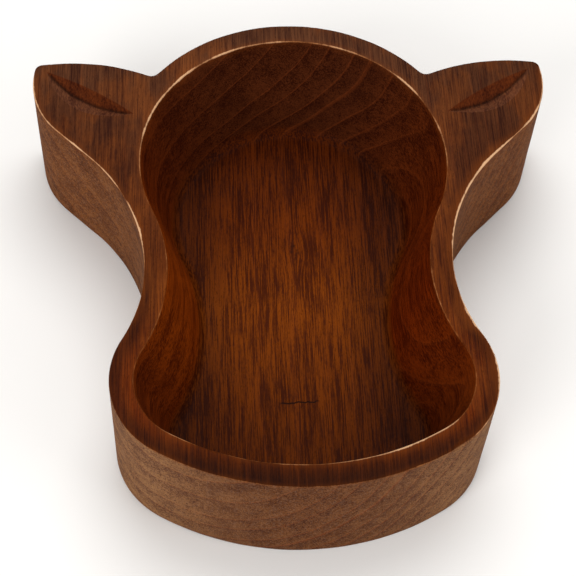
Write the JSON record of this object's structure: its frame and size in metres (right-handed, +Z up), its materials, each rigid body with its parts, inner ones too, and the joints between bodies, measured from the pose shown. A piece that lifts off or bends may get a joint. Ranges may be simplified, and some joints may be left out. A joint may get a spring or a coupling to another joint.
{
  "type": "carved wooden bowl",
  "caption": "Deep open bowl carved from a block of dark stained wood in the outline of an animal head, with a round crown, pointed ears with leaf gouges, a narrow waist and a broad muzzle.",
  "frame": {"origin": "centre of the bounding box's underside, where the bowl stands on a table", "axes": "+Z up from the table to the rim, +Y from the muzzle to the crown, +X to the right seen from the muzzle; the bowl is symmetric about the YZ plane"},
  "size_m": [0.2454, 0.2498, 0.065],
  "materials": {
    "wood_floor": "dark stained hardwood, long grain, satin",
    "wood_wall": "dark stained hardwood with pale worn arrises, satin inside and dusty matt outside",
    "wood_ear": "dark stained hardwood with pale worn arrises, matt"
  },
  "bodies": {
    "root": {"base": "wood_floor", "crown_wall": "wood_wall", "left_cheek_wall": "wood_wall", "right_cheek_wall": "wood_wall", "muzzle_wall": "wood_wall", "left_ear": "wood_ear", "right_ear": "wood_ear"}
  },
  "joints": []
}
